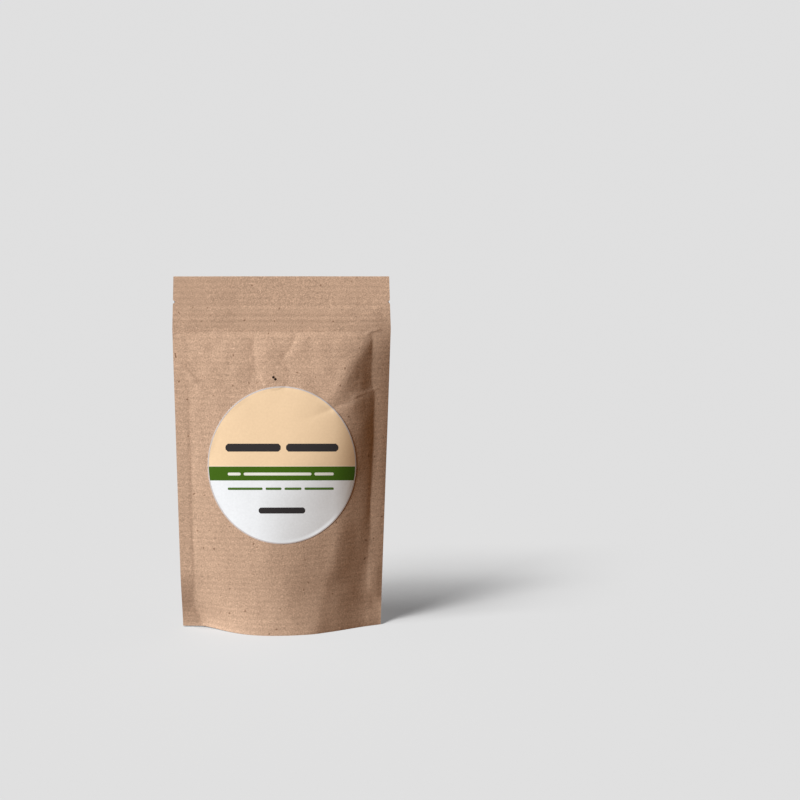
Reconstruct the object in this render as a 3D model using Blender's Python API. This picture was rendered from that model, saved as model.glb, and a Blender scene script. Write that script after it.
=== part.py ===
"""A shut brown-paper stand-up pouch with an oval label on its front.

Units are metres and +Z is up. The pouch stands on the lower rims of its two sheets, the origin is
in the middle of that footprint, and the label faces -Y.

The pouch is one solid, because it is shut and full. A row of upright cross-sections runs from one
side seal to the other. Each goes up the front sheet, over the top edge, down the back sheet and
through the recess that the folded base panel leaves underneath.
"""
import math

import bmesh
import bpy

# Outline of the pouch
HEIGHT = 0.185
WIDEST = 0.157
HALF_WIDTH_BASE = 0.0500
HALF_WIDTH_ZIP = 0.0547
HALF_WIDTH_TOP = 0.0539
SIDE_SEAL = 0.0063
SEAL_THICKNESS = 0.0007

# How far each sheet stands out from the middle, and how that fades towards the zip
BULGE = 0.0155
BULGE_TOP = 0.156
BULGE_RISE = 1.08
BULGE_ROUND = 0.60

# Plan of the sheets: full on the left and sloping to the right, with an arc along the lower rim.
# Each pair holds the powers of the curve: how flat its middle is, then how it runs out.
RIM_CENTRE = -0.004
BODY_CENTRE = -0.012
RIM_REACH_LEFT = 0.0366
RIM_REACH_RIGHT = 0.0549
RIM_FADE_LEFT = 0.026
RIM_FADE_RIGHT = 0.0656
RIM_POWERS_LEFT = (2.5, 1.45)
RIM_POWERS_RIGHT = (2.16, 1.76)
BODY_POWERS_LEFT = (2.6, 1.35)
BODY_POWERS_RIGHT = (1.70, 1.14)
SHOULDER_POWER = 3.4
SHOULDER_START = 0.062
SHOULDER_RISE = 0.050

# The left base corner stays clear of the ground, and the base sits a little to the left
CORNER_LIFT = 0.0005
CORNER_FADE = 0.060
BASE_SHIFT = 0.0005
BASE_SHIFT_FADE = 0.150

# Beside the full part the pouch is a little twisted: left seal forward, right seal leaning back
TWIST_LEFT = 0.82
TWIST_LEFT_BASE = 0.12
TWIST_LEFT_RISE = 0.034
TWIST_LEFT_TOP = 0.159
TWIST_LEFT_FADE = 0.018
TWIST_RIGHT = 0.0064
TWIST_RIGHT_BASE = 0.32
TWIST_RIGHT_RISE = 0.015
TWIST_RIGHT_START = 0.0263
TWIST_RIGHT_TOP = 0.172
TWIST_RIGHT_FADE = 0.040

# Flattened right corner under the zip: the facet's two ends at the seal, then its point on the face
FACET_UPPER = (0.0488, 0.1562)
FACET_LOWER = (0.0472, 0.1252)
FACET_INNER = (0.0250, 0.1170)
FACET_FLATNESS = 0.98
FACET_ROUND = 1.20
FACET_STEP = 0.60
FACET_SOFTNESS = 0.0006

# The zip: two ridges with a flat groove under them, and the heat-sealed band above
ZIP_RIDGES = (0.1662, 0.1625)
ZIP_RIDGE_HEIGHT = 0.0005
ZIP_RIDGE_WIDTH = 0.0010
ZIP_THICKNESS = 0.0008
ZIP_START = 0.1557
SEAL_LINE = 0.1750

# The tear notches in the two side seals
NOTCH_HEIGHT = 0.1717
NOTCH_DEPTH = 0.0016
NOTCH_HALF = 0.0009

# The degassing valve, glued inside and showing as a raised disc
VALVE_X = -0.0036
VALVE_Z = 0.1343
VALVE_RADIUS = 0.0069
VALVE_RAISE = 0.0006

# The base panel, folded up between the sheets
SKIRT = 0.0008
SKIRT_HEIGHT = 0.0040
RECESS_SIDE_HEIGHT = 0.0150
RECESS_HALF_LENGTH = 0.040
RECESS_LEAST_DEPTH = 0.0020
RECESS_SLOPE = 1.6
FOLD_RISE = 0.0040
FOLD_SAG = 0.0010

# The label
LABEL_CENTRE = (0.0002, 0.0889)
LABEL_HALF_WIDTH = 0.0373
LABEL_HALF_HEIGHT = 0.0406
LABEL_THICKNESS = 0.0003
LABEL_GAP = 0.0003
LABEL_RINGS = 7
LABEL_SIDES = 44

# Fineness of the cross-sections
FACE_COLUMNS = 38
SEAL_STEPS = (0.0, 0.0022, 0.0042)
BACK_STRIDE = 2


def clamp(value):
    return max(0.0, min(1.0, value))


def smooth(value):
    """Ease from 0 to 1."""
    t = clamp(value)
    return t * t * (3 - 2 * t)


def mix(start, end, share):
    return start + (end - start) * share


def soft_min(a, b, softness):
    """The smaller of two lengths, with the corner where they cross rounded off."""
    low = min(a, b)
    return low - softness * math.log(math.exp((low - a) / softness) + math.exp((low - b) / softness))


def half_width(z):
    if z > WIDEST:
        return mix(HALF_WIDTH_ZIP, HALF_WIDTH_TOP, (z - WIDEST) / (HEIGHT - WIDEST))
    return mix(HALF_WIDTH_BASE, HALF_WIDTH_ZIP, z / WIDEST)


def crown(z):
    """Depth of the sheet at its middle."""
    if z >= BULGE_TOP:
        return 0.0
    return BULGE * (1 - (z / BULGE_TOP) ** BULGE_RISE) ** BULGE_ROUND


def centre_line(z):
    """Where the sheet is deepest at a height."""
    return mix(RIM_CENTRE, BODY_CENTRE, smooth(z / RIM_FADE_LEFT))


def plan(x, z):
    """Share of the crown's depth that the sheet keeps at x."""
    centre = centre_line(z)
    inner = half_width(z) - SIDE_SEAL
    if x < centre:
        rim = 1 - smooth(z / RIM_FADE_LEFT)
        reach = mix(inner + centre, RIM_REACH_LEFT, rim)
        body, low = BODY_POWERS_LEFT, RIM_POWERS_LEFT
    else:
        rim = 1 - smooth(z / RIM_FADE_RIGHT)
        reach = mix(inner - centre, RIM_REACH_RIGHT, rim)
        shoulder = mix(BODY_POWERS_RIGHT[0], SHOULDER_POWER, smooth((z - SHOULDER_START) / SHOULDER_RISE))
        body, low = (shoulder, BODY_POWERS_RIGHT[1]), RIM_POWERS_RIGHT
    out = clamp(abs(x - centre) / reach)
    return (1 - out ** mix(body[0], low[0], rim)) ** mix(body[1], low[1], rim)


def side_of(start, end, x, z):
    """Distance of a point from the line through start and end, positive on its left."""
    dx, dz = end[0] - start[0], end[1] - start[1]
    return (dx * (z - start[1]) - dz * (x - start[0])) / math.hypot(dx, dz)


def facet_depth(x, z):
    """Depth of the flat facet between the side seal and the face, with the step out below it."""
    full = crown(FACET_INNER[1]) * plan(*FACET_INNER) * FACET_FLATNESS
    across = side_of(FACET_UPPER, FACET_LOWER, x, z) / side_of(FACET_UPPER, FACET_LOWER, *FACET_INNER)
    below = max(0.0, side_of(FACET_LOWER, FACET_INNER, x, z))
    share = 1 - (1 - clamp(across)) ** FACET_ROUND + max(0.0, across - 1)
    return full * share + FACET_STEP * below


def disc(x, z):
    """Height of the valve's disc above the sheet."""
    out = math.hypot(x - VALVE_X, z - VALVE_Z) / VALVE_RADIUS
    return VALVE_RAISE * (1 - smooth((out - 0.85) / 0.3))


def zip_relief(x, z):
    """Thickness that the zip and its two ridges add to each sheet between the side seals."""
    inside = smooth((half_width(z) - SIDE_SEAL / 2 - abs(x)) / SEAL_STEPS[1])
    strip = smooth((z - ZIP_START) / 0.0015) * (1 - smooth((z - ZIP_RIDGES[0] - 0.0012) / 0.0015))
    ridges = sum(math.exp(-((z - ridge) / ZIP_RIDGE_WIDTH) ** 2) for ridge in ZIP_RIDGES)
    return inside * (strip * ZIP_THICKNESS / 2 + ridges * ZIP_RIDGE_HEIGHT)


def sheet_depth(x, z, front):
    """Depth of one sheet from the pouch's middle surface, seals and relief included."""
    depth = crown(z) * plan(x, z)
    inner = half_width(z) - SIDE_SEAL
    if depth > 0 and 0 < x < inner and z > FACET_INNER[1] - 0.02:
        depth = max(0.0, soft_min(depth, max(0.0, facet_depth(x, z)), FACET_SOFTNESS))
    if front:
        depth += disc(x, z)
    return SEAL_THICKNESS / 2 + depth + zip_relief(x, z)


def twist(x, z):
    """How far forward both sheets lie beside the full part."""
    if x < centre_line(z):
        share = mix(TWIST_LEFT_BASE, TWIST_LEFT, smooth(z / TWIST_LEFT_RISE))
        above = smooth((TWIST_LEFT_TOP - z) / TWIST_LEFT_FADE)
        return above * share * crown(z) * (1 - plan(x, z))
    out = max(0.0, x - TWIST_RIGHT_START) / (HALF_WIDTH_ZIP - TWIST_RIGHT_START)
    share = mix(TWIST_RIGHT_BASE, 1.0, smooth(z / TWIST_RIGHT_RISE))
    above = smooth((TWIST_RIGHT_TOP - z) / TWIST_RIGHT_FADE)
    return -above * TWIST_RIGHT * share * out ** 2


def placed(x, y, z):
    """A point of the sheet once its left corner is lifted and its base is moved aside."""
    rise = 1 - plan(x, z) if x < centre_line(z) else 0.0
    lifted = z + CORNER_LIFT * rise * (1 - smooth(z / CORNER_FADE))
    return (x - BASE_SHIFT * (1 - smooth(z / BASE_SHIFT_FADE)), y, lifted)


def on_front(x, z, proud=0.0):
    return placed(x, -sheet_depth(x, z, True) - twist(x, z) - proud, z)


def on_back(x, z, inset=0.0):
    return placed(x, sheet_depth(x, z, False) - twist(x, z) - inset, z)


def spread(start, end, step):
    """Evenly spaced values from start up to, but not with, end."""
    count = max(1, round((end - start) / step))
    return [mix(start, end, index / count) for index in range(count)]


def row_heights():
    """Heights of the sheets' points, closer together where the sheet has relief."""
    rows = spread(0.0, 0.116, 0.0045)
    rows += spread(0.116, ZIP_START, 0.0024)
    rows += spread(ZIP_START, SEAL_LINE - 0.006, 0.0011)
    rows += spread(SEAL_LINE - 0.006, NOTCH_HEIGHT - NOTCH_HALF, 0.0015)
    rows += [NOTCH_HEIGHT - NOTCH_HALF, NOTCH_HEIGHT, NOTCH_HEIGHT + NOTCH_HALF, SEAL_LINE]
    rows += spread(SEAL_LINE, HEIGHT, 0.005)[1:]
    return rows + [HEIGHT]


def column_places():
    """Each column as its share of the inner width, or its distance in from one edge."""
    left = [("edge", -1, step) for step in SEAL_STEPS]
    face = [("face", index * 2 / FACE_COLUMNS - 1, 0.0) for index in range(FACE_COLUMNS + 1)]
    right = [("edge", 1, step) for step in reversed(SEAL_STEPS)]
    return left + face + right


def column_x(place, z):
    kind, share, step = place
    if kind == "face":
        return share * (half_width(z) - SIDE_SEAL)
    notch = NOTCH_DEPTH * clamp(1 - abs(z - NOTCH_HEIGHT) / NOTCH_HALF) if step == 0 else 0.0
    return share * (half_width(z) - step - notch)


def recess_height(x, gap):
    """Height of the base panel where it joins the sheets."""
    height = mix(SKIRT_HEIGHT, RECESS_SIDE_HEIGHT, smooth(abs(x) / RECESS_HALF_LENGTH))
    return min(height, RECESS_SLOPE * gap)


def recess_points(place, flat):
    """The underside between the two rims: up one skirt, across the base panel, down the other."""
    x = column_x(place, 0.0)
    gap = sheet_depth(x, 0.0, True) - SKIRT
    top = 0.0 if flat else recess_height(x, gap)
    ends = [on_front(column_x(place, h), h, -SKIRT) for h in (0.0, top / 2, top)]
    back_ends = [on_back(column_x(place, h), h, SKIRT) for h in (top, top / 2, 0.0)]
    start, end = ends[-1], back_ends[0]
    side = smooth(abs(x) / RECESS_HALF_LENGTH)
    middle = 0.0 if flat else mix(-FOLD_SAG, min(FOLD_RISE, gap), side)
    if flat:
        ends, back_ends = [ends[0]], [back_ends[-1]]
        shares = [index / 8 for index in range(1, 8)]
    else:
        shares = [0.25, 0.5, 0.75]
    across = []
    for share in shares:
        bow = middle * (1 - abs(2 * share - 1))
        across.append(tuple(mix(a, b, share) for a, b in zip(start, end)))
        across[-1] = across[-1][:2] + (across[-1][2] + bow,)
    return ends + across + back_ends


def pouch_sections():
    """The front points, underside points and back points of every cross-section."""
    rows = row_heights()
    back_rows = rows[::BACK_STRIDE]
    if back_rows[-1] != rows[-1]:
        back_rows.append(rows[-1])
    places = column_places()
    open_columns = [index for index, place in enumerate(places)
                    if place[0] == "face"
                    and sheet_depth(column_x(place, 0.0), 0.0, True) > RECESS_LEAST_DEPTH]
    sections = []
    for index, place in enumerate(places):
        front = [on_front(column_x(place, z), z) for z in rows]
        back = [on_back(column_x(place, z), z) for z in back_rows]
        under = []
        if index in open_columns:
            under = recess_points(place, index in (open_columns[0], open_columns[-1]))
        sections.append((front, under, back))
    return sections


def add_strip(mesh, first, second):
    """Faces between two chains of points, or one face where their counts differ."""
    if len(first) == len(second):
        for a, b, c, d in zip(first, first[1:], second[1:], second):
            mesh.faces.new((a, b, c, d))
    else:
        mesh.faces.new(first + second[::-1])


def close_end(mesh, front, back):
    """The narrow edge of a side seal."""
    last = len(back) - 1
    for index in range(last):
        low = index * BACK_STRIDE
        high = len(front) - 1 if index == last - 1 else low + BACK_STRIDE
        mesh.faces.new(front[low:high + 1] + [back[index + 1], back[index]])


def finish_object(name, mesh, material):
    """Turn the faces outwards and put the mesh into an object."""
    bmesh.ops.recalc_face_normals(mesh, faces=mesh.faces)
    bmesh.ops.triangulate(mesh, faces=mesh.faces)
    data = bpy.data.meshes.new(name)
    mesh.to_mesh(data)
    mesh.free()
    data.materials.append(material)
    data.shade_smooth()
    data.set_sharp_from_angle(angle=math.radians(35))
    item = bpy.data.objects.new(name, data)
    bpy.context.collection.objects.link(item)
    return item


def make_material(name, colour, roughness):
    material = bpy.data.materials.new(name)
    material.use_nodes = True
    shader = material.node_tree.nodes["Principled BSDF"]
    shader.inputs["Base Color"].default_value = (*colour, 1.0)
    shader.inputs["Roughness"].default_value = roughness
    shader.inputs["Metallic"].default_value = 0.0
    return material


def make_pouch():
    mesh = bmesh.new()
    columns = []
    for front, under, back in pouch_sections():
        columns.append([[mesh.verts.new(point) for point in part] for part in (front, under, back)])
    for (front_a, under_a, back_a), (front_b, under_b, back_b) in zip(columns, columns[1:]):
        add_strip(mesh, front_a, front_b)
        add_strip(mesh, back_a, back_b)
        add_strip(mesh, [front_a[-1], back_a[-1]], [front_b[-1], back_b[-1]])
        add_strip(mesh, [front_a[0], *under_a, back_a[0]], [front_b[0], *under_b, back_b[0]])
    for front, _, back in (columns[0], columns[-1]):
        close_end(mesh, front, back)
    return finish_object("pouch", mesh, make_material("brown_paper", (0.50, 0.34, 0.23), 0.85))


def label_layer(proud):
    """Centre and rings of points of one face of the label, lying on the front sheet."""
    x0, z0 = LABEL_CENTRE
    rings = []
    for ring in range(1, LABEL_RINGS + 1):
        share = ring / LABEL_RINGS
        angles = [2 * math.pi * side / LABEL_SIDES for side in range(LABEL_SIDES)]
        rings.append([on_front(x0 + LABEL_HALF_WIDTH * share * math.cos(a),
                               z0 + LABEL_HALF_HEIGHT * share * math.sin(a), proud) for a in angles])
    return on_front(x0, z0, proud), rings


def make_label():
    mesh = bmesh.new()
    edges = []
    for proud in (LABEL_GAP, LABEL_GAP + LABEL_THICKNESS):
        centre, rings = label_layer(proud)
        hub = mesh.verts.new(centre)
        loops = [[mesh.verts.new(point) for point in ring] for ring in rings]
        for a, b in zip(loops[0], loops[0][1:] + loops[0][:1]):
            mesh.faces.new((hub, a, b))
        for inner, outer in zip(loops, loops[1:]):
            add_strip(mesh, inner + inner[:1], outer + outer[:1])
        edges.append(loops[-1])
    add_strip(mesh, edges[0] + edges[0][:1], edges[1] + edges[1][:1])
    return finish_object("label", mesh, make_material("label_paper", (0.87, 0.72, 0.55), 0.45))


def remove_old_objects():
    for item in list(bpy.data.objects):
        bpy.data.objects.remove(item, do_unlink=True)


remove_old_objects()
make_pouch()
make_label()
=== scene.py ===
"""The looks of the shut brown-paper stand-up pouch: paper, label, floor, light and camera.

Metres and +Z up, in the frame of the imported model. The paper is built from the same sheet surface
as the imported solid, at a finer pitch and with its creases, and the label lies on that surface.
"""
import math

import bpy
import numpy as np
from mathutils import Matrix, Vector


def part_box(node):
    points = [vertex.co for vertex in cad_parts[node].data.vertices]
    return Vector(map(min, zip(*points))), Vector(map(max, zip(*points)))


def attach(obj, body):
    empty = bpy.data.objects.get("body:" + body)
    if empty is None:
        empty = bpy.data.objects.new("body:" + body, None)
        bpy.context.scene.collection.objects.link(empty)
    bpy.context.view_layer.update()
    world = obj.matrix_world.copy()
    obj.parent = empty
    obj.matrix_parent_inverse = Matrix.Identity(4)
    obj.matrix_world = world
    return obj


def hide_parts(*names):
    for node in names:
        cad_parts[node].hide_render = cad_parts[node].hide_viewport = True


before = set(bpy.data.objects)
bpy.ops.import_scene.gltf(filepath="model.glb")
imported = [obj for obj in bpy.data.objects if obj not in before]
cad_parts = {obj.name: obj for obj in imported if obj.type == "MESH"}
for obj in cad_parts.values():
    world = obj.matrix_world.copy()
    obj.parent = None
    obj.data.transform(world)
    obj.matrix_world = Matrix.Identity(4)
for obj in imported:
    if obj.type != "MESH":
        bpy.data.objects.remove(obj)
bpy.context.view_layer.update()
_, pouch_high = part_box("pouch")

# Outline of the pouch, from the frame
HEIGHT = pouch_high.z
HALF_WIDTH_ZIP = pouch_high.x
HALF_WIDTH_BASE = HALF_WIDTH_ZIP - 0.0047
HALF_WIDTH_TOP = HALF_WIDTH_ZIP - 0.0008
WIDEST = 0.157
SIDE_SEAL = 0.0063
SEAL_THICKNESS = 0.0005

# How far each sheet stands out from the middle, and how that fades towards the zip
BULGE = 0.0155
BULGE_TOP = 0.156
BULGE_RISE = 1.08
BULGE_ROUND = 0.60

# Plan of the sheets: full on the left and sloping to the right, with an arc along the lower rim.
# Each pair holds the powers of the curve: how flat its middle is, then how it runs out.
RIM_CENTRE = -0.004
BODY_CENTRE = -0.012
RIM_REACH_LEFT = 0.0366
RIM_REACH_RIGHT = 0.0549
RIM_FADE_LEFT = 0.026
RIM_FADE_RIGHT = 0.0656
RIM_POWERS_LEFT = (2.5, 1.45)
RIM_POWERS_RIGHT = (2.16, 1.76)
BODY_POWERS_LEFT = (2.6, 1.35)
BODY_POWERS_RIGHT = (1.70, 1.14)
SHOULDER_POWER = 3.4
SHOULDER_START = 0.062
SHOULDER_RISE = 0.050

# The left base corner stays clear of the ground, and the base sits a little to the left
CORNER_LIFT = 0.0005
CORNER_FADE = 0.060
BASE_SHIFT = 0.0005
BASE_SHIFT_FADE = 0.150

# Beside the full part the pouch is a little twisted: left seal forward, right seal leaning back
TWIST_LEFT = 0.82
TWIST_LEFT_BASE = 0.12
TWIST_LEFT_RISE = 0.034
TWIST_LEFT_TOP = 0.159
TWIST_LEFT_FADE = 0.018
TWIST_RIGHT = 0.0064
TWIST_RIGHT_BASE = 0.32
TWIST_RIGHT_RISE = 0.015
TWIST_RIGHT_START = 0.0263
TWIST_RIGHT_TOP = 0.172
TWIST_RIGHT_FADE = 0.040

# Flattened right corner under the zip: the facet's two ends at the seal, then its point on the face
FACET_UPPER = (0.0488, 0.1562)
FACET_LOWER = (0.0472, 0.1252)
FACET_INNER = (0.0250, 0.1170)
FACET_FLATNESS = 0.98
FACET_ROUND = 1.20
FACET_STEP = 0.60
FACET_SOFTNESS = 0.0006
FACET_MARGIN = 0.02

# The zip: its ridges, each with its place up the pouch, height and half width, and its strip
ZIP_RIDGES = ((0.1662, 0.00008, 0.0011), (0.1625, 0.00012, 0.0011), (0.1597, 0.00004, 0.0009))
ZIP_WAVE = 0.0002
ZIP_WAVE_LENGTH = 0.018
ZIP_WAVE_SEED = 5
ZIP_SIDE_FADE = 0.0060
ZIP_INTO_SEAL = 0.4
ZIP_THICKNESS = 0.0004
ZIP_START = 0.1551
ZIP_START_FADE = 0.0024
ZIP_END = 0.1676
ZIP_END_FADE = 0.0020

# The tear notches in the two side seals
NOTCH_HEIGHT = 0.1717
NOTCH_DEPTH = 0.0016
NOTCH_HALF = 0.0009

# The degassing valve under the paper
VALVE_X = -0.0036
VALVE_Z = 0.1343
VALVE_RADIUS = 0.0069
VALVE_RAISE = 0.00014
VALVE_DISH = 0.25
VALVE_DISH_REACH = 0.8
VALVE_EDGE = 0.90
VALVE_EDGE_FADE = 0.16
PINHOLES = ((-0.0041, 0.1338), (-0.0031, 0.1328))
PINHOLE_RADIUS = 0.00066
PINHOLE_SIDES = 14
PINHOLE_PROUD = 0.00003

# The base panel, folded up between the sheets
SKIRT = 0.0005
SKIRT_HEIGHT = 0.0040
RECESS_SIDE_HEIGHT = 0.0150
RECESS_HALF_LENGTH = 0.040
RECESS_LEAST_DEPTH = 0.0020
RECESS_SLOPE = 1.6
FOLD_RISE = 0.0040
FOLD_SAG = 0.0010
SKIRT_STEPS = 4
PANEL_STEPS = 8

# The camera, at the photo's angle
CAMERA_AIM = (0.0, 0.0, 0.09)
CAMERA_DISTANCE = 4.0
CAMERA_ELEVATION = 18.0
CAMERA_LENS = 357.7
CAMERA_SENSOR = 36.0
CAMERA_ASIDE = 0.0593
CAMERA_ABOVE = 0.0286
CAMERA_REACH = 60.0

# The label and its print, across the pouch and up it along the line of sight of the photo
SIGHT_SLOPE = math.tan(math.radians(CAMERA_ELEVATION))
SIGHT_START = 0.010
SIGHT_STEPS = 8
LABEL_CENTRE = (0.0002, 0.0856)
LABEL_HALF_WIDTH = 0.0373
LABEL_HALF_HEIGHT = 0.0417
LABEL_PROUD = 0.00016
LABEL_LIFT = 0.00002
LABEL_ROWS = 130
LABEL_COLUMNS = 110
LABEL_END_TURN = 89.4
LABEL_STIFFNESS = 0.75
LABEL_HOLD = 0.94
LABEL_HOLD_FADE = 0.06
BAND_TOP = 0.0850
BAND_BOTTOM = 0.0776
BAND_LINE = 0.0004
LEAST_ROW_GAP = 0.0002
RING_WIDTH = 0.00055
RING_STEPS = 360
PRINT_PROUD = 0.00003
BAR_PITCH = 0.0006
BAR_ROWS = 5
BAR_ROUNDING = 0.6

# Unevenness of the paper: a slow swell and ripple, flat-sided dents and finer ones. The dents are
# deeper on the crumpled upper part, and the flat parts round the bulge are wavy in their own way.
CRUMPLED_FROM = 0.108
CRUMPLED_RISE = 0.020
BODY_START = 0.0002
BODY_RISE = 0.0020
SWELL_SIZE = 0.017
SWELL_HEIGHT = 0.00016
RIPPLE_SIZE = 0.007
RIPPLE_HEIGHT = 0.00006
DENT_SIZE = 0.0125
DENT_STRETCH = 0.8
DENT_MIDDLE = 0.42
DENT_DEPTH = 0.00014
DENT_DEPTH_UPPER = 0.00044
FINE_SIZE = 0.0046
FINE_HEIGHT = 0.00002
FINE_HEIGHT_UPPER = 0.00004
FLAT_SIZE = 0.016
FLAT_STRETCH = 0.35
FLAT_HEIGHT = 0.00030
FLAT_RIPPLE_SIZE = 0.006
FLAT_RIPPLE_HEIGHT = 0.00006
FLAT_TOP_FADE = 0.02
FLAT_TOP_LEAST = 0.3
SWAY = 0.0005
SWAY_SIZE = 0.030
SWAY_STRETCH = 0.3
SWAY_SEED = 9
SWAY_REACH = 0.05
EDGE_HOLD = 0.0030
EDGE_LEAST = 0.1
BACK_SEED = 100
NOISE_CELLS = 95
NOISE_SHIFT = (40.0, 20.0)
DENT_CELLS = 64
DENT_SHIFT = (20.0, 10.0)

# Form of every crease: the share of its length that fades at each end, and what is left there, how
# round its crest is and how fast it falls off to the sides
CREASE_ENDS = 0.18
CREASE_LEAST = 0.15
CREASE_ROUND = 0.2
CREASE_FALL = 1.3

# Fineness of the paper's mesh
FACE_COLUMNS = 184
FACE_ROWS = 352
SEAL_STEPS = (0.0, 0.0008, 0.0018, 0.0028, 0.0039, 0.0051)
BACK_STRIDE = 4
TOP_FILM = (0.36, 0.64)
SHARP_ANGLE = 40


def smooth(value):
    """Ease from 0 to 1."""
    t = np.clip(value, 0.0, 1.0)
    return t * t * (3 - 2 * t)


def mix(start, end, share):
    """A value that goes from start to end."""
    return start + (end - start) * share


def half_width(z):
    """Half the pouch's width at a height."""
    above = mix(HALF_WIDTH_ZIP, HALF_WIDTH_TOP, (z - WIDEST) / (HEIGHT - WIDEST))
    below = mix(HALF_WIDTH_BASE, HALF_WIDTH_ZIP, z / WIDEST)
    return np.where(z > WIDEST, above, below)


def crown(z):
    """Depth of the sheet at its middle."""
    return BULGE * (1 - np.clip(z / BULGE_TOP, 0.0, 1.0) ** BULGE_RISE) ** BULGE_ROUND


def centre_line(z):
    """Where the sheet is deepest at a height."""
    return mix(RIM_CENTRE, BODY_CENTRE, smooth(z / RIM_FADE_LEFT))


def plan(x, z):
    """Share of the crown's depth that the sheet keeps at x."""
    centre = centre_line(z)
    left = x < centre
    rim = 1 - smooth(z / np.where(left, RIM_FADE_LEFT, RIM_FADE_RIGHT))
    inner = half_width(z) - SIDE_SEAL
    reach = mix(np.where(left, inner + centre, inner - centre),
                np.where(left, RIM_REACH_LEFT, RIM_REACH_RIGHT), rim)
    upper = smooth((z - SHOULDER_START) / SHOULDER_RISE)
    shoulder = mix(BODY_POWERS_RIGHT[0], SHOULDER_POWER, upper)
    flat = mix(np.where(left, BODY_POWERS_LEFT[0], shoulder),
               np.where(left, RIM_POWERS_LEFT[0], RIM_POWERS_RIGHT[0]), rim)
    fall = mix(np.where(left, BODY_POWERS_LEFT[1], BODY_POWERS_RIGHT[1]),
               np.where(left, RIM_POWERS_LEFT[1], RIM_POWERS_RIGHT[1]), rim)
    return (1 - np.clip(np.abs(x - centre) / reach, 0.0, 1.0) ** flat) ** fall


def side_of(start, end, x, z):
    """Distance of a point from the line through start and end, positive on its left."""
    dx, dz = end[0] - start[0], end[1] - start[1]
    return (dx * (z - start[1]) - dz * (x - start[0])) / math.hypot(dx, dz)


def facet_depth(x, z):
    """Depth of the flat facet between the side seal and the face, with the step out below it."""
    full = crown(FACET_INNER[1]) * plan(*FACET_INNER) * FACET_FLATNESS
    across = side_of(FACET_UPPER, FACET_LOWER, x, z)
    across = across / side_of(FACET_UPPER, FACET_LOWER, *FACET_INNER)
    below = np.maximum(0.0, side_of(FACET_LOWER, FACET_INNER, x, z))
    share = 1 - (1 - np.clip(across, 0.0, 1.0)) ** FACET_ROUND + np.maximum(0.0, across - 1)
    return full * share + FACET_STEP * below


def faceted(depth, x, z):
    """The bulge with its upper right corner flattened."""
    near = (depth > 0) & (x > 0) & (x < half_width(z) - SIDE_SEAL)
    near = near & (z > FACET_INNER[1] - FACET_MARGIN)
    flat = np.maximum(0.0, facet_depth(x, z))
    cut = -FACET_SOFTNESS * np.logaddexp(-depth / FACET_SOFTNESS, -flat / FACET_SOFTNESS)
    return np.where(near, np.maximum(0.0, cut), depth)


def value_noise(x, z, size, seed):
    """Smooth random values from -1 to 1 on a lattice of the given size."""
    cells = NOISE_CELLS
    lattice = np.random.RandomState(seed).uniform(-1, 1, (cells + 1, cells + 1))
    gx, gz = x / size + NOISE_SHIFT[0], z / size + NOISE_SHIFT[1]
    ix, iz = np.floor(gx).astype(int), np.floor(gz).astype(int)
    fx, fz = smooth(gx - ix), smooth(gz - iz)
    ix, iz = ix % cells, iz % cells
    low = mix(lattice[ix, iz], lattice[ix + 1, iz], fx)
    high = mix(lattice[ix, iz + 1], lattice[ix + 1, iz + 1], fx)
    return mix(low, high, fz)


def crumple(x, z, size, seed):
    """Cone-shaped dents of about the given size, as in handled paper: 0 to about 1."""
    cells = DENT_CELLS
    points = np.random.RandomState(seed).uniform(0.1, 0.9, (cells, cells, 2))
    gx, gz = x / size + DENT_SHIFT[0], z / size + DENT_SHIFT[1]
    ix, iz = np.floor(gx).astype(int), np.floor(gz).astype(int)
    nearest = np.full(np.shape(gx), np.inf)
    for di in (-1, 0, 1):
        for dj in (-1, 0, 1):
            spot = points[(ix + di) % cells, (iz + dj) % cells]
            gap = np.hypot(ix + di + spot[..., 0] - gx, iz + dj + spot[..., 1] - gz)
            nearest = np.minimum(nearest, gap)
    return nearest


def crease(x, z, points, height, width):
    """A soft-ended ridge, or a valley where height is negative, along a line of points."""
    best = np.zeros(np.shape(x))
    total = sum(math.dist(a, b) for a, b in zip(points, points[1:]))
    done = 0.0
    for start, end in zip(points, points[1:]):
        length = math.dist(start, end)
        dx, dz = end[0] - start[0], end[1] - start[1]
        along = ((x - start[0]) * dx + (z - start[1]) * dz) / length
        held = np.clip(along, 0.0, length)
        gap = np.hypot(x - start[0] - dx * held / length, z - start[1] - dz * held / length)
        place = (done + held) / total
        ends = smooth(place / CREASE_ENDS) * smooth((1 - place) / CREASE_ENDS)
        ends = mix(CREASE_LEAST, 1.0, ends)
        across = np.sqrt((gap / width) ** 2 + CREASE_ROUND ** 2) - CREASE_ROUND
        best = np.maximum(best, ends * np.exp(-CREASE_FALL * across))
        done += length
    return height * best


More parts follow.
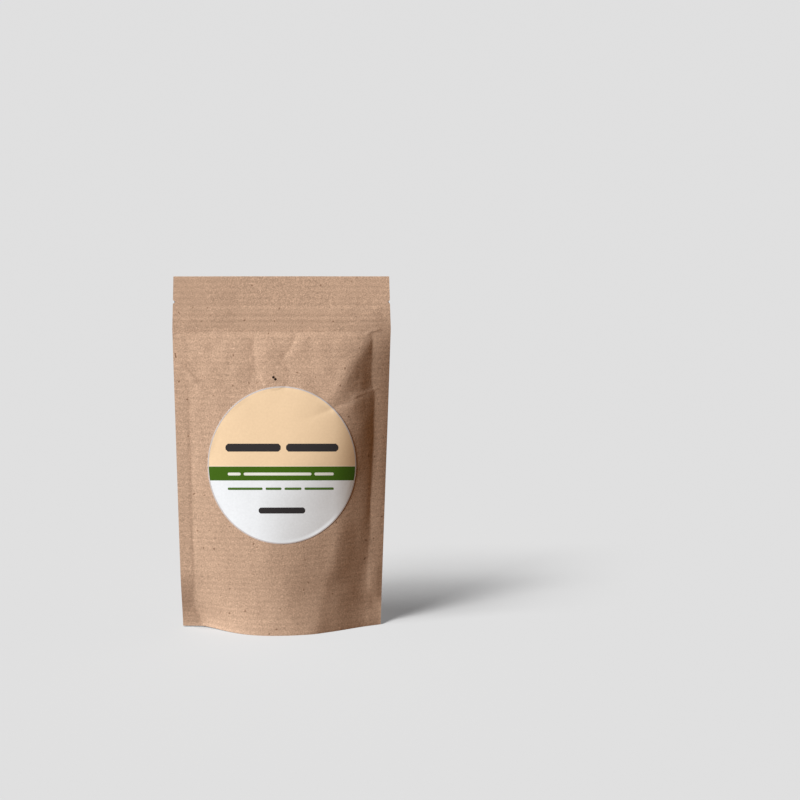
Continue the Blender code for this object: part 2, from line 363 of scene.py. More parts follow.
# Creases of the front sheet: points from one end to the other, height and half width
FRONT_CREASES = (
    (((-0.0545, 0.1556), (-0.0444, 0.1512), (-0.0350, 0.1476)), 0.00045, 0.0014),
    (((-0.0538, 0.1560), (-0.0500, 0.1551)), -0.00060, 0.0010),
    (((-0.0528, 0.1409), (-0.0470, 0.1360), (-0.0415, 0.1308)), 0.00048, 0.0014),
    (((-0.0475, 0.1345), (-0.0395, 0.1275)), 0.00024, 0.0012),
    (((0.0085, 0.1562), (0.0040, 0.1475), (-0.0008, 0.1420)), -0.00030, 0.0017),
    (((0.0146, 0.1557), (0.0095, 0.1490), (0.0030, 0.1416)), 0.00008, 0.0020),
    (((-0.0137, 0.1570), (-0.0137, 0.1450), (-0.0125, 0.1310)), -0.00034, 0.0028),
    (((-0.0235, 0.1552), (-0.0285, 0.1490)), 0.00016, 0.0016),
    (((0.0480, 0.1560), (0.0370, 0.1390), (0.0300, 0.1270), (0.0250, 0.1175)), 0.00020, 0.0042),
    (((0.0450, 0.1550), (0.0335, 0.1390), (0.0270, 0.1270), (0.0225, 0.1180)), 0.00050, 0.0065),
    (((0.0415, 0.1542), (0.0450, 0.1557), (0.0498, 0.1574)), 0.00028, 0.0012),
    (((0.0474, 0.1560), (0.0470, 0.1500), (0.0462, 0.1420)), -0.00040, 0.0014),
    (((0.0510, 0.1264), (0.0440, 0.1242), (0.0340, 0.1214)), 0.00036, 0.0014),
    (((0.0478, 0.1205), (0.0462, 0.0850), (0.0445, 0.0500)), -0.00030, 0.0018),
    (((0.0330, 0.0620), (0.0240, 0.0300), (0.0165, 0.0000), (0.0120, -0.0200)), 0.00080, 0.0130),
    (((0.0452, 0.0340), (0.0440, 0.0100), (0.0435, -0.0100)), 0.00016, 0.0030),
    (((-0.0130, 0.0300), (-0.0125, 0.0000)), 0.00012, 0.0030),
)

# Small puckers where the band above the zip was sealed, and the wavy lower edge of the zip
SEAL_CREASES = (
    (((-0.0520, 0.1568), (-0.0440, 0.1588), (-0.0300, 0.1578), (-0.0200, 0.1590),
      (-0.0030, 0.1586), (0.0120, 0.1580)), -0.00018, 0.0011),
    (((-0.0134, 0.1752), (-0.0128, 0.1680)), 0.00012, 0.0008),
    (((-0.0092, 0.1756), (-0.0090, 0.1672)), 0.00011, 0.0009),
    (((-0.0046, 0.1752), (-0.0052, 0.1685)), 0.00011, 0.0008),
    (((0.0246, 0.1755), (0.0262, 0.1690), (0.0318, 0.1668)), 0.00011, 0.0009),
    (((0.0380, 0.1755), (0.0366, 0.1695), (0.0318, 0.1668)), 0.00012, 0.0009),
    (((-0.0360, 0.1750), (-0.0340, 0.1700)), 0.00008, 0.0009),
)

# Creases of the back sheet, which the photo doesn't show
BACK_CREASES = (
    (((-0.0500, 0.1550), (-0.0390, 0.1440), (-0.0310, 0.1300)), 0.00045, 0.0013),
    (((0.0510, 0.1548), (0.0420, 0.1490), (0.0350, 0.1440)), 0.00050, 0.0011),
    (((0.0490, 0.1340), (0.0380, 0.1250)), 0.00045, 0.0011),
    (((-0.0100, 0.1550), (-0.0060, 0.1440), (0.0010, 0.1370)), -0.00045, 0.0015),
    (((0.0180, 0.1552), (0.0130, 0.1460)), 0.00035, 0.0014),
    (((-0.0470, 0.1180), (-0.0460, 0.0600)), -0.00040, 0.0015),
    (((0.0470, 0.1180), (0.0460, 0.0600)), -0.00040, 0.0015),
    (((-0.0230, 0.0420), (-0.0180, 0.0000)), 0.00045, 0.0040),
)


def zip_relief(x, z):
    """Thickness that the zip and its ridges add to each sheet between the side seals."""
    wave = ZIP_WAVE * value_noise(x, z * 0, ZIP_WAVE_LENGTH, ZIP_WAVE_SEED)
    inside = smooth((half_width(z) - SIDE_SEAL * ZIP_INTO_SEAL - np.abs(x)) / ZIP_SIDE_FADE)
    strip = smooth((z - ZIP_START) / ZIP_START_FADE) * (1 - smooth((z - ZIP_END) / ZIP_END_FADE))
    ridges = sum(height * np.exp(-((z + wave - place) / width) ** 2)
                 for place, height, width in ZIP_RIDGES)
    return inside * (strip * ZIP_THICKNESS / 2 + ridges)


def label_cover(x, z, depth):
    """How far a point lies under the label: 1 inside it and 0 outside."""
    up = (z - SIGHT_SLOPE * depth - LABEL_CENTRE[1]) / LABEL_HALF_HEIGHT
    out = np.hypot((x - LABEL_CENTRE[0]) / LABEL_HALF_WIDTH, up)
    return 1 - smooth((out - LABEL_HOLD) / LABEL_HOLD_FADE)


def relief(x, z, depth, front):
    """Creases and the small unevenness of the sheet."""
    seed = 0 if front else BACK_SEED
    body = smooth((depth - BODY_START) / BODY_RISE)
    upper = smooth((z - CRUMPLED_FROM) / CRUMPLED_RISE) * body
    calm = 1 - LABEL_STIFFNESS * label_cover(x, z, depth) if front else 1.0
    soft = (SWELL_HEIGHT * value_noise(x, z, SWELL_SIZE, seed + 1)
            + RIPPLE_HEIGHT * value_noise(x, z, RIPPLE_SIZE, seed + 2))
    dents = crumple(x, z * DENT_STRETCH, DENT_SIZE, seed + 3) - DENT_MIDDLE
    dents = dents * (DENT_DEPTH + DENT_DEPTH_UPPER * upper)
    fine = crumple(x, z, FINE_SIZE, seed + 4) * (FINE_HEIGHT + FINE_HEIGHT_UPPER * upper)
    flat = (FLAT_HEIGHT * value_noise(x, z * FLAT_STRETCH, FLAT_SIZE, seed + 6)
            + FLAT_RIPPLE_HEIGHT * value_noise(x, z, FLAT_RIPPLE_SIZE, seed + 7))
    flat = flat * smooth((HEIGHT - z) / FLAT_TOP_FADE + FLAT_TOP_LEAST)
    total = calm * body * (soft - dents + fine) + (1 - body) * flat
    creases = FRONT_CREASES + SEAL_CREASES if front else BACK_CREASES
    for points, height, width in creases:
        total = total + calm * crease(x, z, points, height, width)
    return total


def valve_relief(x, z):
    """Height of the valve's disc, a little dished in its middle."""
    out = np.hypot(x - VALVE_X, z - VALVE_Z) / VALVE_RADIUS
    dish = VALVE_DISH * (1 - smooth(out / VALVE_DISH_REACH))
    disc = 1 - smooth((out - VALVE_EDGE) / VALVE_EDGE_FADE)
    return VALVE_RAISE * (disc - dish)


def sheet_depth(x, z, front):
    """Depth of one sheet from the pouch's middle surface, seals and relief included."""
    base = faceted(crown(z) * plan(x, z), x, z)
    held = mix(EDGE_LEAST, 1.0, smooth((half_width(z) - np.abs(x)) / EDGE_HOLD))
    depth = base + relief(x, z, base, front) * held
    if front:
        depth = depth + valve_relief(x, z)
    return SEAL_THICKNESS / 2 + np.maximum(depth, 0.0) + zip_relief(x, z)


def twist(x, z):
    """How far forward both sheets lie beside the full part."""
    share = mix(TWIST_LEFT_BASE, TWIST_LEFT, smooth(z / TWIST_LEFT_RISE))
    left = share * crown(z) * np.where(x < centre_line(z), 1 - plan(x, z), 0.0)
    left = left * smooth((TWIST_LEFT_TOP - z) / TWIST_LEFT_FADE)
    out = np.maximum(0.0, x - TWIST_RIGHT_START) / (HALF_WIDTH_ZIP - TWIST_RIGHT_START)
    share = mix(TWIST_RIGHT_BASE, 1.0, smooth(z / TWIST_RIGHT_RISE))
    right = TWIST_RIGHT * share * smooth((TWIST_RIGHT_TOP - z) / TWIST_RIGHT_FADE) * out ** 2
    sway = SWAY * value_noise(x * SWAY_STRETCH, z, SWAY_SIZE, SWAY_SEED)
    return left - right + sway * smooth(np.abs(x) / SWAY_REACH)


def raised(x, z):
    """A height on the sheet once its rim is lifted towards the left corner."""
    lift = CORNER_LIFT * np.where(x < centre_line(z), 1 - plan(x, z), 0.0)
    return z + lift * (1 - smooth(z / CORNER_FADE))


def shifted(x, z):
    """A place across the sheet once its base is moved aside."""
    return x - BASE_SHIFT * (1 - smooth(z / BASE_SHIFT_FADE))


def on_front(x, z, proud=0.0):
    x, z = np.broadcast_arrays(np.asarray(x, float), np.asarray(z, float))
    depth = -sheet_depth(x, z, True) - twist(x, z) - proud
    return np.stack([shifted(x, z), depth, raised(x, z)], axis=-1)


def on_back(x, z, inset=0.0):
    x, z = np.broadcast_arrays(np.asarray(x, float), np.asarray(z, float))
    depth = sheet_depth(x, z, False) - twist(x, z) - inset
    return np.stack([shifted(x, z), depth, raised(x, z)], axis=-1)


def column_places():
    """Each column as its share of the inner width, or its distance in from one edge."""
    left = [("edge", -1, step) for step in SEAL_STEPS]
    face = [("face", index * 2 / FACE_COLUMNS - 1, 0.0) for index in range(FACE_COLUMNS + 1)]
    right = [("edge", 1, step) for step in reversed(SEAL_STEPS)]
    return left + face + right


def column_x(place, z):
    """Where a column lies at a height, with the tear notch cut into the outer edge."""
    kind, share, step = place
    if kind == "face":
        return share * (half_width(z) - SIDE_SEAL)
    notch = NOTCH_DEPTH * np.clip(1 - np.abs(z - NOTCH_HEIGHT) / NOTCH_HALF, 0.0, 1.0)
    return share * (half_width(z) - step - (notch if step == 0 else 0.0))


def recess_points(place, flat):
    """The underside between the two rims: up one skirt, across the base panel, down the other."""
    x = float(column_x(place, 0.0))
    gap = float(sheet_depth(np.array(x), np.array(0.0), True)) - SKIRT
    side = float(smooth(abs(x) / RECESS_HALF_LENGTH))
    top = min(mix(SKIRT_HEIGHT, RECESS_SIDE_HEIGHT, side), RECESS_SLOPE * gap)
    if flat:
        start, end = on_front(x, 0.0, -SKIRT), on_back(x, 0.0, SKIRT)
        shares = np.linspace(0.0, 1.0, 2 * SKIRT_STEPS + PANEL_STEPS - 1)
        return [mix(start, end, share) for share in shares]
    rising = np.linspace(0.0, top, SKIRT_STEPS)
    ends = on_front(column_x(place, rising), rising, -SKIRT)
    back_ends = on_back(column_x(place, rising[::-1]), rising[::-1], SKIRT)
    middle = mix(-FOLD_SAG, min(FOLD_RISE, gap), side)
    across = []
    for share in np.linspace(0.0, 1.0, PANEL_STEPS + 1)[1:-1]:
        point = mix(ends[-1], back_ends[0], share)
        point[2] += middle * (1 - abs(2 * share - 1))
        across.append(point)
    return [*ends, *across, *back_ends]


def mesh_object(name, points, faces, looks, materials):
    """A mesh piece from points, faces and each face's material index."""
    data = bpy.data.meshes.new(name)
    data.from_pydata([tuple(map(float, point)) for point in points], [], faces)
    for material in materials:
        data.materials.append(material)
    data.polygons.foreach_set("material_index", looks)
    data.update()
    data.shade_smooth()
    data.set_sharp_from_angle(angle=math.radians(SHARP_ANGLE))
    item = bpy.data.objects.new(name, data)
    bpy.context.collection.objects.link(item)
    return item


class Faces:
    """The points of one mesh, its faces and each face's material index."""

    def __init__(self):
        self.points = []
        self.faces = []
        self.looks = []

    def chain(self, points):
        """Keep a chain of points and give their numbers."""
        self.points.extend(points)
        return list(range(len(self.points) - len(points), len(self.points)))

    def face(self, corners, look=0):
        self.faces.append(tuple(map(int, corners)))
        self.looks.append(look)

    def strip(self, first, second, look=0):
        """Faces between two chains of points, or one face where their counts differ."""
        if len(first) == len(second):
            for corners in zip(first, first[1:], second[1:], second):
                self.face(corners, look)
        else:
            self.face(first + second[::-1], look)

    def grid(self, rows, look=0):
        """Faces over a grid of points."""
        numbers = [self.chain(row) for row in rows]
        for low, high in zip(numbers, numbers[1:]):
            for corners in zip(low, low[1:], high[1:], high):
                self.face(corners, look)

    def finish(self, name, materials):
        return mesh_object(name, self.points, self.faces, self.looks, materials)


def pouch_columns(mesh):
    """The points of every cross-section: front sheet, underside, back sheet and top edge."""
    rows = np.sort(np.concatenate([np.linspace(0.0, HEIGHT, FACE_ROWS + 1)[1:-1],
                                   [0.0, HEIGHT, NOTCH_HEIGHT]]))
    back_rows = np.append(rows[:-1:BACK_STRIDE], HEIGHT)
    places = column_places()
    xs = np.array([column_x(place, rows) for place in places])
    back_xs = np.array([column_x(place, back_rows) for place in places])
    front = on_front(xs, np.broadcast_to(rows, xs.shape))
    back = on_back(back_xs, np.broadcast_to(back_rows, back_xs.shape))
    opened = [index for index, place in enumerate(places)
              if place[0] == "face"
              and sheet_depth(column_x(place, 0.0), np.array(0.0), True) > RECESS_LEAST_DEPTH]
    columns = []
    for index, place in enumerate(places):
        under = []
        if index in opened:
            under = mesh.chain(recess_points(place, index in (opened[0], opened[-1])))
        top = [mix(front[index][-1], back[index][-1], share) for share in TOP_FILM]
        columns.append((mesh.chain(front[index]), under, mesh.chain(back[index]), mesh.chain(top)))
    return columns


def close_end(mesh, front, back, top):
    """The narrow edge of a side seal."""
    last = len(back) - 1
    for index in range(last):
        low = index * BACK_STRIDE
        high = len(front) - 1 if index == last - 1 else low + BACK_STRIDE
        corner = top if index == last - 1 else []
        mesh.face(front[low:high + 1] + corner + [back[index + 1], back[index]])


def make_pouch(paper, film):
    mesh = Faces()
    columns = pouch_columns(mesh)
    for one, other in zip(columns, columns[1:]):
        front_a, under_a, back_a, top_a = one
        front_b, under_b, back_b, top_b = other
        mesh.strip(front_b, front_a)
        mesh.strip(back_a, back_b)
        mesh.strip([front_a[-1], top_a[0]], [front_b[-1], top_b[0]])
        mesh.strip(top_a, top_b, 1)
        mesh.strip([top_a[1], back_a[-1]], [top_b[1], back_b[-1]])
        mesh.strip([front_a[0], *under_a, back_a[0]], [front_b[0], *under_b, back_b[0]])
    for front, _, back, top in (columns[0], columns[-1]):
        close_end(mesh, front, back, top)
    return mesh.finish("paper_pouch", [paper, film])


def on_label(x, up, proud):
    """A point of the label, given across the pouch and up it along the photo's line of sight."""
    x, up = np.broadcast_arrays(np.asarray(x, float), np.asarray(up, float))
    z = up + SIGHT_SLOPE * SIGHT_START
    for _ in range(SIGHT_STEPS):
        z = up + SIGHT_SLOPE * (sheet_depth(x, z, True) + twist(x, z))
    return on_front(x, z, proud)


def label_heights():
    """Heights of the label's rows, with one at each edge between two colour fields."""
    turn = np.radians(np.linspace(-LABEL_END_TURN, LABEL_END_TURN, LABEL_ROWS))
    heights = LABEL_CENTRE[1] + LABEL_HALF_HEIGHT * np.sin(turn)
    bounds = [BAND_BOTTOM, BAND_TOP, BAND_TOP + BAND_LINE]
    keep = [h for h in heights if min(abs(h - bound) for bound in bounds) > LEAST_ROW_GAP]
    return np.sort(np.array(keep + bounds))


def label_field(height):
    """Which colour field a height lies in: 0 cream, 1 fine line, 2 green, 3 white."""
    if height < BAND_BOTTOM:
        return 3
    if height < BAND_TOP:
        return 2
    return 1 if height < BAND_TOP + BAND_LINE else 0


def make_label(cream, line, green, white, edge):
    """The label as one thin piece whose colour fields end on mesh edges."""
    x0, up0 = LABEL_CENTRE
    heights = label_heights()
    chords = LABEL_HALF_WIDTH * np.sqrt(1 - ((heights - up0) / LABEL_HALF_HEIGHT) ** 2)
    across = np.linspace(-1, 1, LABEL_COLUMNS + 1)
    xs = x0 + chords[:, None] * across[None, :]
    ups = np.broadcast_to(heights[:, None], xs.shape)
    top = on_label(xs, ups, LABEL_PROUD)
    bottom = top + np.array([0.0, LABEL_PROUD - LABEL_LIFT, 0.0])
    count = top.shape[0] * top.shape[1]
    number = np.arange(count).reshape(top.shape[:2])
    mesh = Faces()
    mesh.chain(top.reshape(-1, 3))
    mesh.chain(bottom.reshape(-1, 3))
    for row, (low, high) in enumerate(zip(number, number[1:])):
        look = label_field((heights[row] + heights[row + 1]) / 2)
        for a, b, c, d in zip(low, low[1:], high[1:], high):
            mesh.face((a, b, c, d), look)
            mesh.face((count + d, count + c, count + b, count + a), 4)
    rim = [*number[0], *number[1:, -1], *number[-1, ::-1][1:], *number[::-1, 0][1:-1]]
    for a, b in zip(rim, rim[1:] + rim[:1]):
        mesh.face((b, a, count + a, count + b), 4)
    return mesh.finish("label_sheet", [cream, line, green, white, edge])


# Plain bars that hold the places of the print: left, right, low and high, then the ink
PRINT_BARS = (
    (-0.0282, -0.0004, 0.0929, 0.0971, "charcoal"),
    (0.0022, 0.0285, 0.0929, 0.0971, "charcoal"),
    (-0.0270, -0.0205, 0.0803, 0.0818, "white"),
    (-0.0190, 0.0150, 0.0803, 0.0818, "white"),
    (0.0165, 0.0262, 0.0803, 0.0818, "white"),
    (-0.0270, -0.0095, 0.0726, 0.0739, "green"),
    (-0.0080, 0.0000, 0.0726, 0.0739, "green"),
    (0.0015, 0.0100, 0.0726, 0.0739, "green"),
    (0.0115, 0.0262, 0.0726, 0.0739, "green"),
    (-0.0115, 0.0119, 0.0601, 0.0633, "charcoal"),
)


def bar_grid(left, right, low, high):
    """Places over one bar, drawn in towards its rounded ends."""
    columns = max(2, round((right - left) / BAR_PITCH) + 1)
    xs, ups = np.meshgrid(np.linspace(left, right, columns), np.linspace(low, high, BAR_ROWS))
    end = (high - low) / 2
    bow = np.sqrt(np.clip(1 - ((ups - (low + high) / 2) / end) ** 2, 0.0, 1.0))
    middle, half = (left + right) / 2, (right - left) / 2
    return middle + (xs - middle) * (half - end * BAR_ROUNDING * (1 - bow)) / half, ups


def make_print(inks, ring):
    """The bars and the thin ring at the label's edge, lying on the label."""
    mesh = Faces()
    names = list(inks)
    for left, right, low, high, ink in PRINT_BARS:
        xs, ups = bar_grid(left, right, low, high)
        mesh.grid(on_label(xs, ups, LABEL_PROUD + PRINT_PROUD), names.index(ink))
    turn, share = np.meshgrid(np.linspace(0, 2 * math.pi, RING_STEPS + 1), [0.0, 1.0])
    shrink = 1 - RING_WIDTH * (1 - share) / LABEL_HALF_WIDTH
    xs = LABEL_CENTRE[0] + LABEL_HALF_WIDTH * shrink * np.cos(turn)
    ups = LABEL_CENTRE[1] + LABEL_HALF_HEIGHT * shrink * np.sin(turn)
    mesh.grid(on_label(xs, ups, LABEL_PROUD + PRINT_PROUD), len(names))
    return mesh.finish("label_print", [*inks.values(), ring])


def make_pinholes(dark):
    """The two holes that let gas out over the valve, drawn as flat near-black discs: painted shade
    for the inside of the holes.
    """
    mesh = Faces()
    turns = np.linspace(0, 2 * math.pi, PINHOLE_SIDES + 1)[:-1]
    for x0, z0 in PINHOLES:
        ring = on_front(x0 + PINHOLE_RADIUS * np.cos(turns), z0 + PINHOLE_RADIUS * np.sin(turns),
                        PINHOLE_PROUD)
        mesh.face(mesh.chain(ring))
    return mesh.finish("valve_pinholes", [dark])


class Nodes:
    """Short names for building one material's node tree."""

    def __init__(self, name):
        self.material = bpy.data.materials.new(name)
        self.material.use_nodes = True
        self.tree = self.material.node_tree
        self.shader = self.tree.nodes["Principled BSDF"]
        place = self.tree.nodes.new("ShaderNodeTexCoord")
        self.place = place.outputs["Object"]

    def join(self, source, target):
        self.tree.links.new(source, target)

    def mapped(self, scale):
        node = self.tree.nodes.new("ShaderNodeMapping")
        node.inputs["Scale"].default_value = scale
        self.join(self.place, node.inputs["Vector"])
        return node.outputs["Vector"]

    def noise(self, scale, detail, rough, distortion=0.0):
        node = self.tree.nodes.new("ShaderNodeTexNoise")
        node.inputs["Scale"].default_value = 1.0
        node.inputs["Detail"].default_value = detail
        node.inputs["Roughness"].default_value = rough
        node.inputs["Distortion"].default_value = distortion
        self.join(self.mapped(scale), node.inputs["Vector"])
        return node.outputs["Fac"]

    def wave(self, scale, distortion, detail_scale):
        node = self.tree.nodes.new("ShaderNodeTexWave")
        node.wave_type = "BANDS"
        node.bands_direction = "Z"
        node.inputs["Scale"].default_value = scale
        node.inputs["Distortion"].default_value = distortion
        node.inputs["Detail"].default_value = 2.0
        node.inputs["Detail Scale"].default_value = detail_scale
        self.join(self.place, node.inputs["Vector"])
        return node.outputs["Fac"]

    def ramp(self, source, low_at, low, high_at, high):
        """A colour that goes from low to high between two values of the source."""
        node = self.tree.nodes.new("ShaderNodeValToRGB")
        stops = ((low_at, low), (high_at, high))
        for element, (position, colour) in zip(node.color_ramp.elements, stops):
            element.position = position
            element.color = (*colour, 1.0)
        self.join(source, node.inputs["Fac"])
        return node.outputs["Color"]

    def multiply(self, base, top):
        node = self.tree.nodes.new("ShaderNodeMix")
        node.data_type = "RGBA"
        node.blend_type = "MULTIPLY"
        node.inputs["Factor"].default_value = 1.0
        colours = [socket for socket in node.inputs if socket.type == "RGBA"]
        for socket, source in zip(colours, (base, top)):
            self.join(source, socket)
        return next(socket for socket in node.outputs if socket.type == "RGBA")

    def add(self, first, second, weight):
        """The first value plus the weighted second one."""
        node = self.tree.nodes.new("ShaderNodeMath")
        node.operation = "MULTIPLY_ADD"
        node.inputs[1].default_value = weight
        self.join(second, node.inputs[0])
        self.join(first, node.inputs[2])
        return node.outputs[0]

    def bump(self, source, strength, distance):
        node = self.tree.nodes.new("ShaderNodeBump")
        node.inputs["Strength"].default_value = strength
        node.inputs["Distance"].default_value = distance
        self.join(source, node.inputs["Height"])
        self.join(node.outputs["Normal"], self.shader.inputs["Normal"])

    def surface(self, roughness, specular):
        self.shader.inputs["Roughness"].default_value = roughness
        self.shader.inputs["Specular IOR Level"].default_value = specular


# Colours
PAPER_BROWN = (0.515, 0.366, 0.265)
FILM = (0.46, 0.40, 0.33)
LABEL_CREAM = (0.850, 0.662, 0.440)
LABEL_LINE = (0.90, 0.76, 0.60)
LABEL_GREEN = (0.054, 0.132, 0.011)
LABEL_WHITE = (0.825, 0.900, 0.960)
LABEL_EDGE = (0.7425, 0.810, 0.864)
LABEL_RING = (0.58, 0.56, 0.57)
INK_CHARCOAL = (0.035, 0.033, 0.035)
INK_WHITE = (0.80, 0.84, 0.78)
INK_GREEN = (0.075, 0.160, 0.030)
# Near-black of the pinholes: painted shade that stands in for the inside of the holes
PINHOLE_PAINTED_SHADE = (0.020, 0.013, 0.010)

# Layers of the paper's colour. A noise has its scale across, through and up the pouch, then its
# detail and roughness. Tones are the darkest and the lightest that a layer makes of the brown.
MOTTLE = ((150, 150, 170), 3.0, 0.6)
MOTTLE_TONES = (0.97, 1.03)
PULP = ((900, 900, 950), 2.0, 0.6)
PULP_TONES = (0.92, 1.08)
GRAIN = ((2100, 2100, 2100), 1.0, 0.5)
GRAIN_TONES = (0.68, 1.32)
FIBRES = ((520, 520, 1300), 2.0, 0.5, 0.6)
FIBRE_TONES = (0.96, 1.04)
RIBS = (105.0, 0.4, 6.0)
RIB_TONES = (0.965, 1.028)
GRAIN_SHARE, FIBRE_SHARE, RIB_SHARE = 0.5, 0.4, 0.25
PAPER_BUMP = (0.55, 0.00012)
PAPER_ROUGHNESS = 0.90
PAPER_SPECULAR = 0.04

# Flecks: the noise, the values between which a fleck grows to its full tone, and that tone
DARK_FLECKS = (((520, 520, 430), 1.0, 0.4), (0.742, 0.780), (0.50, 0.44, 0.40))
PALE_FLECKS = (((610, 610, 560), 1.0, 0.4), (0.730, 0.775), (1.22, 1.24, 1.26))

# The printed label's fine tooth and broad clouds, laid out as the paper's layers are
TOOTH = ((900, 900, 900), 3.0, 0.6)
TOOTH_TONES = (0.97, 1.03)
CLOUDS = ((60, 60, 60), 2.0, 0.5)
CLOUD_TONES = (0.985, 1.01)
PRINT_BUMP = (0.25, 0.00004)
PRINT_ROUGHNESS = 0.42
PRINT_SPECULAR = 0.08
FILM_ROUGHNESS = 0.35
CUT_EDGE_ROUGHNESS = 0.7
PINHOLE_ROUGHNESS = 0.9


def shaded(colour, factor):
    return tuple(channel * factor for channel in colour)


def grey(value):
    return (value, value, value)


def paper_material():
    """Uncoated brown paper: faint laid ribs, mottled pulp, short fibres, dark and pale flecks."""
    nodes = Nodes("brown_paper_fibres")
    pulp = nodes.noise(*PULP)
    grain = nodes.noise(*GRAIN)
    fibres = nodes.noise(*FIBRES)
    ribs = nodes.wave(*RIBS)
    dark, light = (shaded(PAPER_BROWN, tone) for tone in MOTTLE_TONES)
    colour = nodes.ramp(nodes.noise(*MOTTLE), 0.30, dark, 0.70, light)
    layers = ((pulp, PULP_TONES), (grain, GRAIN_TONES), (fibres, FIBRE_TONES), (ribs, RIB_TONES))
    for source, (low, high) in layers:
        colour = nodes.multiply(colour, nodes.ramp(source, 0.25, grey(low), 0.75, grey(high)))
    for noise, (start, full), tone in (DARK_FLECKS, PALE_FLECKS):
        flecks = nodes.ramp(nodes.noise(*noise), start, grey(1.0), full, tone)
        colour = nodes.multiply(colour, flecks)
    nodes.join(colour, nodes.shader.inputs["Base Color"])
    height = nodes.add(pulp, grain, GRAIN_SHARE)
    height = nodes.add(height, fibres, FIBRE_SHARE)
    height = nodes.add(height, ribs, RIB_SHARE)
    nodes.bump(height, *PAPER_BUMP)
    nodes.surface(PAPER_ROUGHNESS, PAPER_SPECULAR)
    return nodes.material


def printed_material(name, colour, roughness=PRINT_ROUGHNESS):
    """Coated label paper in one printed colour, with the faintest tooth."""
    nodes = Nodes(name)
    tooth = nodes.noise(*TOOTH)
    dark, light = (shaded(colour, tone) for tone in TOOTH_TONES)
    paint = nodes.ramp(tooth, 0.3, dark, 0.7, light)
    low, high = CLOUD_TONES
    clouds = nodes.ramp(nodes.noise(*CLOUDS), 0.3, grey(low), 0.7, grey(high))
    nodes.join(nodes.multiply(paint, clouds), nodes.shader.inputs["Base Color"])
    nodes.bump(tooth, *PRINT_BUMP)
    nodes.surface(roughness, PRINT_SPECULAR)
    return nodes.material


# Floor, world and suns. Each sun has its turn from the front, its rise above the floor and its
# spread in degrees, then its power.
FLOOR_HALF = 12.0
FLOOR_COLOUR = (0.290, 0.290, 0.290)
FLOOR_GLOW = (0.1605, 0.1820, 0.1970)
KEY_LIGHT = (-57.0, 21.0, 22.0, 5.26)
FLOOR_WIDE_LIGHT = (-61.3, 59.0, 16.7, 4.02)
FLOOR_LONG_LIGHT = (-48.8, 53.0, 15.6, 3.04)
BACK_LIGHT = (150.0, 35.0, 60.0, 3.0)
SUN_DISTANCE = 2.0
WORLD_COLOUR = (0.140, 0.062, 0.016)
WORLD_SEEN = (0.74, 0.74, 0.74)


def floor_material():
    """A pale studio floor that is evenly bright and keeps its shadows soft."""
    nodes = Nodes("studio_floor")
    nodes.shader.inputs["Base Color"].default_value = (*FLOOR_COLOUR, 1.0)
    nodes.shader.inputs["Emission Color"].default_value = (*FLOOR_GLOW, 1.0)
    nodes.shader.inputs["Emission Strength"].default_value = 1.0
    nodes.surface(1.0, 0.0)
    return nodes.material


def make_floor():
    corners = [(-FLOOR_HALF, -FLOOR_HALF, 0), (FLOOR_HALF, -FLOOR_HALF, 0),
               (FLOOR_HALF, FLOOR_HALF, 0), (-FLOOR_HALF, FLOOR_HALF, 0)]
    floor = mesh_object("studio_floor", corners, [(0, 1, 2, 3)], [0], [floor_material()])
    floor.visible_diffuse = False
    return floor


def make_sun(name, light, lit):
    """A large soft source that shines on the lit objects alone."""
    turn, rise, spread, power = light
    data = bpy.data.lights.new(name, "SUN")
    data.energy = power
    data.angle = math.radians(spread)
    sun = bpy.data.objects.new(name, data)
    across, up = math.radians(turn), math.radians(rise)
    toward = Vector((math.sin(across) * math.cos(up),
                     -math.cos(across) * math.cos(up),
                     math.sin(up)))
    sun.location = toward * SUN_DISTANCE
    sun.rotation_euler = toward.to_track_quat("Z", "Y").to_euler()
    bpy.context.collection.objects.link(sun)
    group = bpy.data.collections.new(name + "_lit")
    for item in lit:
        group.objects.link(item)
    sun.light_linking.receiver_collection = group
    return sun


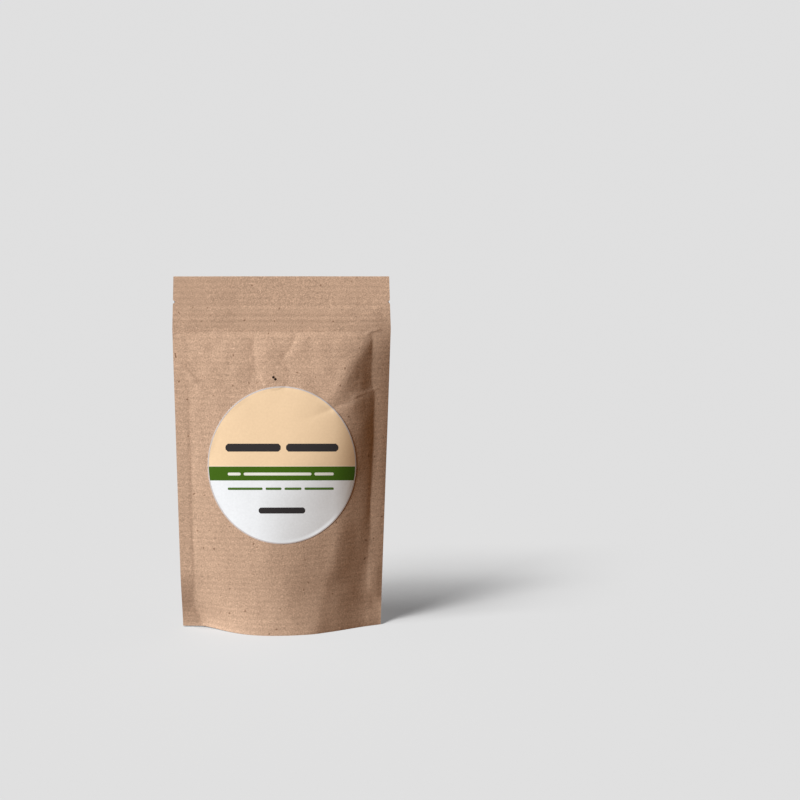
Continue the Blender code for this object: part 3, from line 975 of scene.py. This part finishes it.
def make_world():
    """Warm dim light from all round, while the camera sees a plain pale grey."""
    world = bpy.data.worlds.new("studio")
    world.use_nodes = True
    tree = world.node_tree
    light = tree.nodes["Background"]
    light.inputs["Color"].default_value = (*WORLD_COLOUR, 1.0)
    seen = tree.nodes.new("ShaderNodeBackground")
    seen.inputs["Color"].default_value = (*WORLD_SEEN, 1.0)
    path = tree.nodes.new("ShaderNodeLightPath")
    either = tree.nodes.new("ShaderNodeMixShader")
    tree.links.new(path.outputs["Is Camera Ray"], either.inputs[0])
    tree.links.new(light.outputs[0], either.inputs[1])
    tree.links.new(seen.outputs[0], either.inputs[2])
    tree.links.new(either.outputs[0], tree.nodes["World Output"].inputs["Surface"])
    bpy.context.scene.world = world


def make_camera():
    rise = math.radians(CAMERA_ELEVATION)
    back = Vector((0.0, -math.cos(rise), math.sin(rise)))
    right = Vector((1.0, 0.0, 0.0))
    above = back.cross(right)
    data = bpy.data.cameras.new("camera")
    data.lens = CAMERA_LENS
    data.sensor_width = CAMERA_SENSOR
    data.clip_end = CAMERA_REACH
    camera = bpy.data.objects.new("camera", data)
    place = Vector(CAMERA_AIM) + back * CAMERA_DISTANCE + right * CAMERA_ASIDE + above * CAMERA_ABOVE
    turned = Matrix((right, above, back)).transposed().to_4x4()
    camera.matrix_world = Matrix.Translation(place) @ turned
    bpy.context.collection.objects.link(camera)
    bpy.context.scene.camera = camera


make_camera()

paper = paper_material()
film = printed_material("inner_film", FILM, FILM_ROUGHNESS)
pouch = make_pouch(paper, film)
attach(pouch, "root")
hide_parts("pouch")

white = printed_material("label_white", LABEL_WHITE)
label = make_label(printed_material("label_cream", LABEL_CREAM),
                   printed_material("label_fine_line", LABEL_LINE),
                   printed_material("label_green", LABEL_GREEN),
                   white,
                   printed_material("label_cut_edge", LABEL_EDGE, CUT_EDGE_ROUGHNESS))
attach(label, "root")
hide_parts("label")

inks = {"charcoal": printed_material("ink_charcoal", INK_CHARCOAL),
        "white": printed_material("ink_white", INK_WHITE),
        "green": printed_material("ink_green", INK_GREEN)}
bars = make_print(inks, printed_material("label_ring", LABEL_RING))
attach(bars, "root")

# The pinholes are flat discs in a near-black material, painted shade for the inside of the holes
holes = make_pinholes(printed_material("pinhole_painted_shade", PINHOLE_PAINTED_SHADE, PINHOLE_ROUGHNESS))
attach(holes, "root")

floor = make_floor()
object_pieces = [pouch, label, bars, holes]
make_sun("key_light", KEY_LIGHT, object_pieces)
make_sun("floor_wide_light", FLOOR_WIDE_LIGHT, [floor])
make_sun("floor_long_light", FLOOR_LONG_LIGHT, [floor])
make_sun("back_light", BACK_LIGHT, object_pieces)
make_world()
bpy.context.scene.view_settings.view_transform = "Standard"
